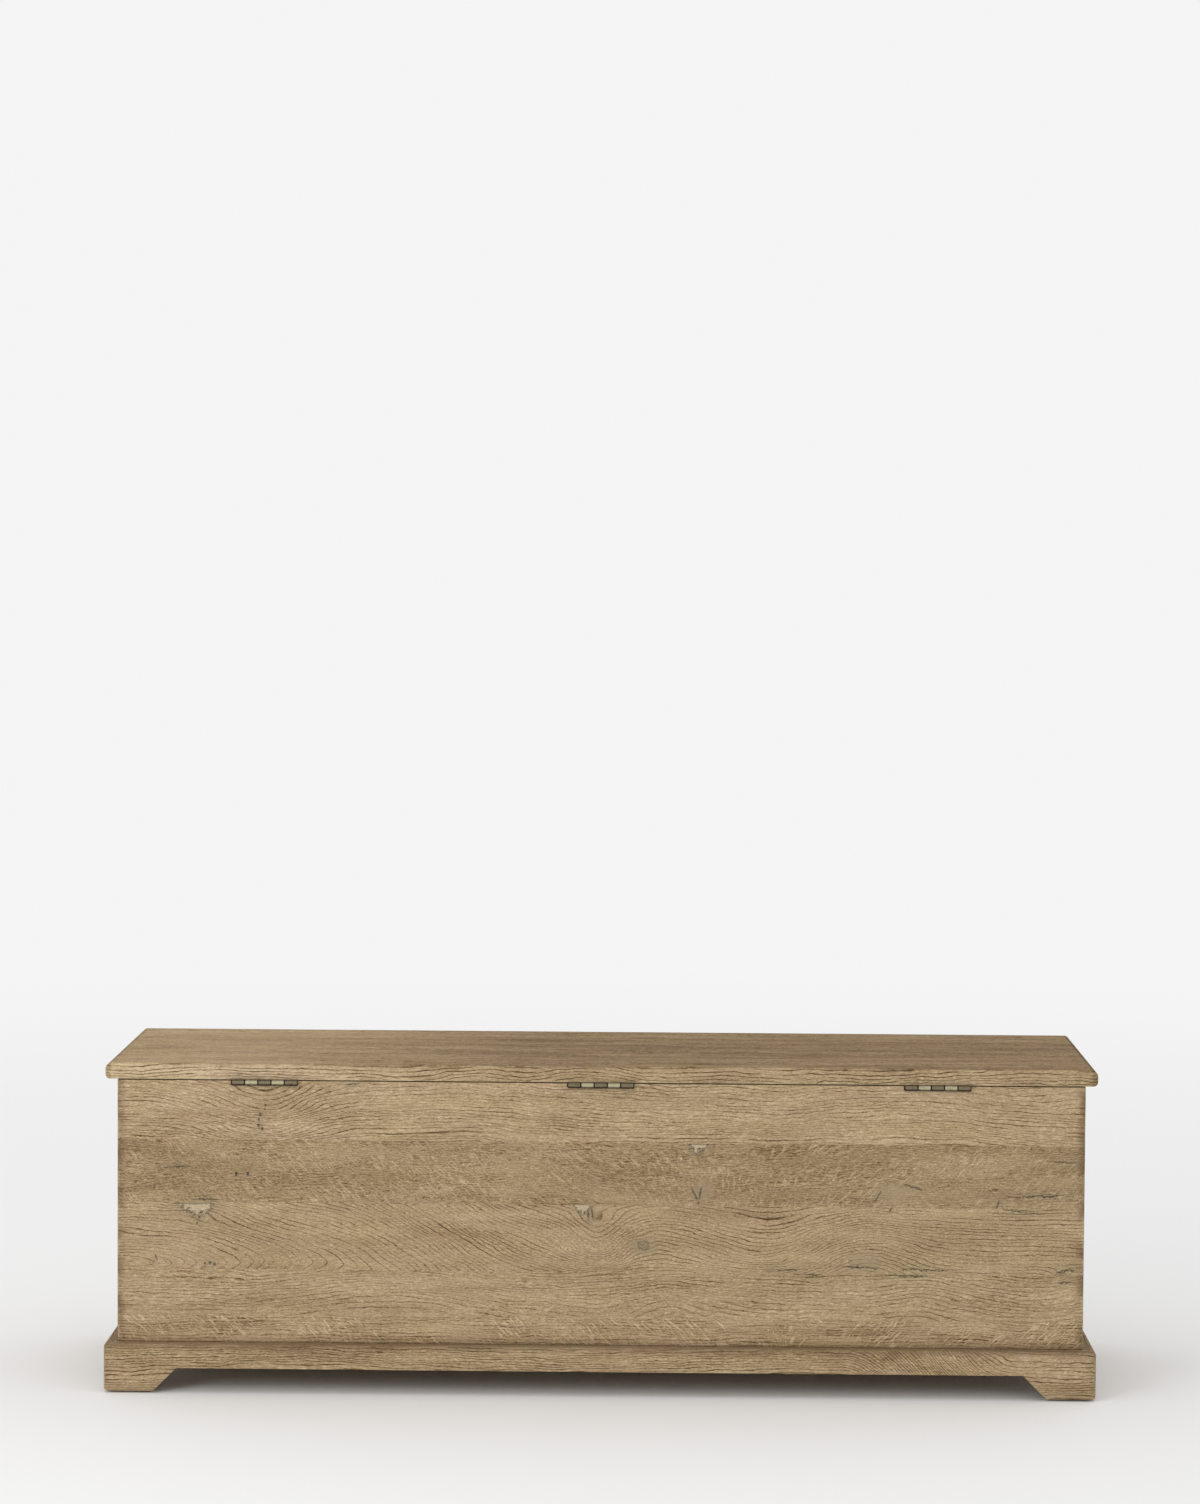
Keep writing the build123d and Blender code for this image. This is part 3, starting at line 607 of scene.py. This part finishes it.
# How each kind of board lies: the axis of its grain, then the axis and the side of its outer face.
LAYOUT = {
    "back_board": (X, Y, HIGH),
    "front_board": (X, Y, LOW),
    "left_side": (Y, X, LOW),
    "right_side": (Y, X, HIGH),
    "plinth_back": (X, Y, HIGH),
    "plinth_front": (X, Y, LOW),
    "plinth_left": (Y, X, LOW),
    "plinth_right": (Y, X, HIGH),
    "lid_board": (X, Z, HIGH),
    "lid_batten": (Y, Z, HIGH),
    "floor_panel": (X, Z, HIGH),
    "floor_ledger_front": (X, Z, HIGH),
    "floor_ledger_back": (X, Z, HIGH),
    "floor_ledger_left": (Y, Z, HIGH),
    "floor_ledger_right": (Y, Z, HIGH),
    "foot_block": (X, Z, HIGH),
    "corner_splines": (Z, Y, HIGH),
}


def board_axes(grain, face, side, box):
    """Turns x, y, z into millimetres along the grain, across it and below the outer face."""
    outer = box[side][face]
    inward = -1 if side == HIGH else 1
    return lambda *place: (place[grain], place[3 - grain - face], (place[face] - outer) * inward)


def group_box(*starts):
    """The box, in millimetres, round every CAD node whose name begins with one of the words."""
    corners = [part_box(name) for name in nodes if name.startswith(starts)]
    low = [min(c[LOW][k] for c in corners) * MM for k in (X, Y, Z)]
    high = [max(c[HIGH][k] for c in corners) * MM for k in (X, Y, Z)]
    return low, high


def paint(name, material):
    mesh = nodes[name].data
    mesh.materials.clear()
    mesh.materials.append(material)


ARCHED_SHARE = 0.4  # of the boards whose pattern is left to chance
PLAIN_SHEEN, LID_SHEEN = 0.05, 0.01  # specular level


def random_cut(draw, low, high, flecks=0.0, **settings):
    """A likely board between two places across: straight grain with flecks, or now and then arches."""
    middle, half = (low + high) / 2, (high - low) / 2
    arched = draw.random() < ARCHED_SHARE
    if arched:
        pith, depth = middle + draw.uniform(-0.6, 0.6) * half, draw.uniform(14, 30)
    else:
        pith, depth = middle + draw.choice((-1, 1)) * (half + draw.uniform(20, 160)), draw.uniform(20, 60)
    seed = draw.uniform(1, 60)
    chosen = dict(
        pith=pith, depth=depth, seed=seed, lean=draw.uniform(-0.02, 0.02), roll=draw.uniform(5, 16),
        ring=draw.uniform(3.9, 4.9), tone=draw.uniform(-0.12, 0.12), lines=draw.uniform(0.75, 1.1),
        flecks=0.0 if arched else flecks, fan=(400.0 * math.sin(seed), low, 250.0),
    )
    chosen.update(settings)
    return Cut(**chosen)


def paint_oak():
    draw = random.Random(11)
    lid, plinth = group_box("lid_board"), group_box("plinth")
    carcass = group_box("back_board", "front_board", "left_side", "right_side")
    # The carcass's top and foot are covered: a much taller box is worn, with a painted highlight, only at its
    # four upright corners.
    corners = ((*carcass[LOW][:Z], -MM), (*carcass[HIGH][:Z], MM))
    foot = plinth[HIGH][Z]
    for start, layout in LAYOUT.items():
        for name in sorted(n for n in nodes if n.startswith(start)):
            box = [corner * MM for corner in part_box(name)]
            axes = board_axes(*layout, box)
            _, (low, high), depths = zip(axes(*box[LOW]), axes(*box[HIGH]))
            settings = {}
            marks = dict(shell=carcass, glaze=0.15, sheen=PLAIN_SHEEN)
            if start == "lid_board":
                # The lid's top is darker in tone: partly its own darker finish, partly painted shade for the
                # light the top misses.
                settings = dict(
                    lines=0.75, edge_lines=1.5, tone=draw.uniform(-0.56, -0.36), edge_tone=0.15,
                    painted_light=LID_PAINTED_LIGHT, roll=6,
                )
                marks.update(shell=lid, ends=lid[HIGH][X], sheen=LID_SHEEN)
            elif start == "lid_batten":
                marks.update(shell=lid)
            elif start.startswith("plinth"):
                settings = dict(lines=1.3, tone=0.1)
                marks.update(shell=plinth, glaze=0.3, brow=foot)
            elif "board" in start or "side" in start:
                settings = dict(flecks=1.0)
                marks.update(shell=corners, glaze=0.6, foot=foot, bare=True)
            cut = KNOWN_CUTS.get(name) or random_cut(draw, low, high, **settings)
            paint(name, oak("oak_" + name, axes, cut, max(depths), **marks))


# ---- fittings ----

KNUCKLES = 5
HIGHLIGHT_RISE = 0.7  # painted highlight: the barrel's bright band lies this far above its middle, painted shade below it
KNUCKLE_JOINT = (0.09, 0.01)  # how far tarnish and painted shade reach from a joint between knuckles, as a share of a knuckle


def hinge_brass(name, bright, dark_brass):
    """Brass: a painted highlight on the barrel's top, painted shade below it, tarnish and painted shade at
    its joints.
    """
    g = Graph(name, Metallic=1.0)
    x, y, z = g.position()
    low, high = (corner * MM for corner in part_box("hinge_centre_body_leaf"))
    next_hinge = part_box("hinge_left_body_leaf")[LOW][X] * MM
    knuckle = (high[X] - low[X]) / KNUCKLES
    spacing = abs(low[X] - next_hinge)
    along = ((x - next_hinge + spacing) / spacing).fract() * (spacing / knuckle)
    joint = 0.5 - (along.fract() - 0.5).abs()
    # Painted highlight and shade: the barrel is bright along a band above its middle and darkens below it.
    highlight_height = (low[Z] + high[Z]) / 2 + HIGHLIGHT_RISE
    off_highlight = (z - highlight_height).most((highlight_height - z) * 1.3)
    cloud = g.noise(x / 5, y / 5, z / 5, 4.0, 0.65)
    scratches = g.noise(x / 14, y / 0.5, z / 0.5, 2.0)
    root = high[Y] - knuckle / 2  # where the barrel meets the leaves
    barrel = y.ramp(root, root + 1.0)
    # Painted shade below the bright band, tarnish with painted shade at the knuckles' joints, and clouds of
    # tarnish.
    tarnish_and_shade = (off_highlight.ramp(1.6, 4.4) * 0.75 + joint.ramp(*KNUCKLE_JOINT)) * barrel
    tarnish_and_shade = tarnish_and_shade + cloud.ramp(0.5, 0.75) * 0.5
    colour = g.blend(bright, dark_brass, (tarnish_and_shade + (scratches - 0.5) * 0.5).most(0.0).least(1.0))
    return g.finish(colour, (tarnish_and_shade * 0.3 + 0.28).least(0.75), scratches * 0.03 + cloud * 0.06)


def brushed_brass(name, bright, dark_brass, grain):
    """Satin brass with brushing marks; grain is their length in millimetres along x, y and z."""
    g = Graph(name, Metallic=1.0)
    x, y, z = g.position()
    marks = g.noise(x / grain[0], y / grain[1], z / grain[2], 2.0, 0.6)
    cloud = g.noise(x / 9, y / 9, z / 9, 4.0, 0.6)
    share = (cloud.ramp(0.42, 0.7) * 0.6 + (marks - 0.5) * 0.5).most(0.0).least(1.0)
    return g.finish(g.blend(bright, dark_brass, share), marks * 0.2 + cloud * 0.2 + 0.14, marks * 0.03)


def soft_grain(name, first, second, size, roughness, relief):
    """Felt or nylon: a mottled colour with a matching relief; size is the mottling's in millimetres."""
    g = Graph(name, Specular_IOR_Level=0.3)
    x, y, z = g.position()
    fibres = g.noise(x / size, y / size, z / size, 5.0, 0.7)
    broad = g.noise(x / (8 * size), y / (8 * size), z / (8 * size), 2.0)
    share = (fibres.ramp(0.3, 0.7) * 0.7 + broad.ramp(0.3, 0.7) * 0.3).least(1.0)
    return g.finish(g.blend(first, second, share), fibres * 0.2 + roughness, fibres * relief)


def paint_fittings():
    aged = hinge_brass("aged_brass", srgb(128, 116, 94), srgb(50, 43, 36))
    worn_and_highlight = hinge_brass("worn_brass", srgb(184, 174, 144), srgb(84, 73, 56))
    stay = brushed_brass("stay_brass", srgb(182, 158, 112), srgb(118, 98, 66), (3, 24, 0.5))
    screw = brushed_brass("screw_brass", srgb(158, 126, 70), srgb(84, 64, 36), (2, 2, 2))
    felt = soft_grain("felt", srgb(88, 74, 62), srgb(126, 110, 94), 0.5, 0.75, 0.25)
    nylon = soft_grain("nylon", srgb(206, 200, 186), srgb(226, 222, 210), 1.5, 0.35, 0.03)
    fittings = {
        "hinge_left_lid": worn_and_highlight, "hinge_centre_lid": worn_and_highlight, "hinge_right_lid": worn_and_highlight, "hinge": aged,
        "stay": stay, "batten_screws": screw, "carcass_screws": screw, "lid_screws": screw,
        "lid_bumpers": felt, "foot_glides": nylon,
    }
    for name in nodes:
        for start, material in fittings.items():
            if name.startswith(start):
                paint(name, material)
                break


paint_oak()
paint_fittings()


# ---- stage, light and camera ----

STUDIO_WHITE = 0.91  # the radiance of the background, and of the floor far away
FLOOR_PALE = (0.9, 0.9, 0.9)
FLOOR_RADIUS = 60.0
FLOOR_DROP = 0.0005  # keeps the floor off the underside of the feet
FLOOR_FADE = (1.6, 6.0)  # metres from the chest's middle
KEY_PLACE, KEY_TARGET = (3.0, 4.6, 2.2), (0.0, 0.0, 0.25)
KEY_SIZE, KEY_POWER = 2.5, 70.0

# The camera stands behind the chest and looks down on it a little.
CAMERA_PLACE = (-0.0919, 6.4642, 1.3085)
CAMERA_YAW, CAMERA_PITCH, CAMERA_ROLL = 0.8844, 2.9105, 0.3604  # degrees: off -Y, down, about the view
CAMERA_LENS, CAMERA_SENSOR = 97.99, 36.0  # millimetres


def make_stage():
    """A pale floor that fades into the background far from the chest."""
    bpy.ops.mesh.primitive_circle_add(
        vertices=96, radius=FLOOR_RADIUS, fill_type="NGON", location=(0, 0, -FLOOR_DROP)
    )
    floor = bpy.context.object
    floor.name = "studio_floor"
    g = Graph("pale_floor", Specular_IOR_Level=0.0)
    x, y, _ = g.position()
    far = ((x * x + y * y).sqrt() / MM).ramp(*FLOOR_FADE)
    g.feed(g.shader.inputs["Base Color"], g.blend(FLOOR_PALE, (0.0, 0.0, 0.0), far))
    g.shader.inputs["Emission Color"].default_value = (1.0, 1.0, 1.0, 1.0)
    g.feed(g.shader.inputs["Emission Strength"], far * STUDIO_WHITE)
    floor.data.materials.append(g.material)


def make_world():
    world = bpy.data.worlds.new("studio")
    bpy.context.scene.world = world
    world.use_nodes = True
    background = world.node_tree.nodes["Background"]
    background.inputs["Color"].default_value = (1.0, 1.0, 1.0, 1.0)
    background.inputs["Strength"].default_value = STUDIO_WHITE


def area_light(name, place, target, size, power):
    """A round soft light at a place, turned to a target."""
    light = bpy.data.lights.new(name, "AREA")
    light.shape = "DISK"
    light.size = size
    light.energy = power
    made = bpy.data.objects.new(name, light)
    made.location = place
    made.rotation_mode = "QUATERNION"
    made.rotation_quaternion = (Vector(target) - Vector(place)).to_track_quat("-Z", "Y")
    bpy.context.scene.collection.objects.link(made)


def make_camera():
    data = bpy.data.cameras.new("camera")
    data.lens = CAMERA_LENS
    data.sensor_width = CAMERA_SENSOR
    camera = bpy.data.objects.new("camera", data)
    bpy.context.scene.collection.objects.link(camera)
    yaw, pitch, roll = (math.radians(a) for a in (CAMERA_YAW, CAMERA_PITCH, CAMERA_ROLL))
    level = Vector((math.sin(yaw), -math.cos(yaw), 0.0))
    forward = level * math.cos(pitch) - Vector((0.0, 0.0, math.sin(pitch)))
    right = Vector((-math.cos(yaw), -math.sin(yaw), 0.0))
    up = right.cross(forward)
    right, up = right * math.cos(roll) + up * math.sin(roll), up * math.cos(roll) - right * math.sin(roll)
    turn = Matrix((right, up, -forward)).transposed().to_4x4()
    camera.matrix_world = Matrix.Translation(CAMERA_PLACE) @ turn
    bpy.context.scene.camera = camera


make_camera()
make_stage()
make_world()
area_light("key", KEY_PLACE, KEY_TARGET, KEY_SIZE, KEY_POWER)
bpy.context.scene.view_settings.view_transform = "Standard"
